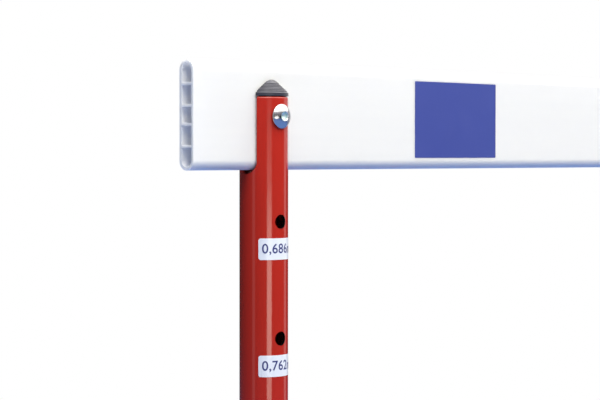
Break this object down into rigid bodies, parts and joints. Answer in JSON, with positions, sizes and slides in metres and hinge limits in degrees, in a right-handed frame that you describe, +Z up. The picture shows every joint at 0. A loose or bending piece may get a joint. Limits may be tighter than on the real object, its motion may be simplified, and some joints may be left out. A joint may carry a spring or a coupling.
{
  "type": "training hurdle",
  "caption": "Training hurdle: a hollow plastic crossbar with coloured bands in two slotted steel tubes, which slide in the uprights of a welded base and are held by index plungers.",
  "frame": {"origin": "on the floor, under the middle of the hurdle's box", "axes": "+X along the crossbar, +Y from the uprights towards the long ends of the feet, +Z up"},
  "size_m": [1.2, 0.668, 0.9146],
  "materials": {
    "red_powder_coat": "gloss",
    "white_pvc": "satin",
    "blue_film": "satin",
    "grey_plastic": "matte",
    "black_plastic": "satin",
    "black_nylon": "satin",
    "natural_nylon": "satin",
    "black_rubber": "matte",
    "zinc_plate": "bright zinc",
    "spring_steel": "bright"
  },
  "bodies": {
    "base": {"cross_tube": "red_powder_coat", "left_outer_tube": "red_powder_coat", "left_guide_collar": "black_nylon", "left_plunger_boss": "red_powder_coat", "left_plunger_sleeve": "zinc_plate", "left_plunger_spring": "spring_steel", "left_foot_tube": "red_powder_coat", "left_gusset": "red_powder_coat", "left_front_end_cap": "black_plastic", "left_rear_end_cap": "black_plastic", "left_front_pad": "black_rubber", "left_rear_pad": "black_rubber", "right_outer_tube": "red_powder_coat", "right_guide_collar": "black_nylon", "right_plunger_boss": "red_powder_coat", "right_plunger_sleeve": "zinc_plate", "right_plunger_spring": "spring_steel", "right_foot_tube": "red_powder_coat", "right_gusset": "red_powder_coat", "right_front_end_cap": "black_plastic", "right_rear_end_cap": "black_plastic", "right_front_pad": "black_rubber", "right_rear_pad": "black_rubber"},
    "upper_frame": {"crossbar": "white_pvc", "front_left_band": "blue_film", "front_right_band": "blue_film", "rear_left_band": "blue_film", "rear_right_band": "blue_film", "left_upper_tube": "red_powder_coat", "left_front_half_cap": "grey_plastic", "left_rear_half_cap": "grey_plastic", "left_crossbar_bolt": "zinc_plate", "left_crossbar_washer": "zinc_plate", "left_crossbar_cap_nut": "zinc_plate", "left_lower_glide": "natural_nylon", "right_upper_tube": "red_powder_coat", "right_front_half_cap": "grey_plastic", "right_rear_half_cap": "grey_plastic", "right_crossbar_bolt": "zinc_plate", "right_crossbar_washer": "zinc_plate", "right_crossbar_cap_nut": "zinc_plate", "right_lower_glide": "natural_nylon"},
    "left_plunger": {"left_plunger_pin": "zinc_plate", "left_plunger_knob": "black_plastic"},
    "right_plunger": {"right_plunger_pin": "zinc_plate", "right_plunger_knob": "black_plastic"}
  },
  "joints": [
    {"name": "height_adjust", "type": "slide", "parent": "base", "child": "upper_frame", "axis": [0, 0, 1], "range_m": [-0.2286, 0.1524]},
    {"name": "left_plunger_engage", "type": "slide", "parent": "base", "child": "left_plunger", "axis": [0, 1, 0], "range_m": [0, 0.007], "deforming": ["left_plunger_spring"]},
    {"name": "right_plunger_engage", "type": "slide", "parent": "base", "child": "right_plunger", "axis": [0, 1, 0], "range_m": [0, 0.007], "deforming": ["right_plunger_spring"]}
  ]
}
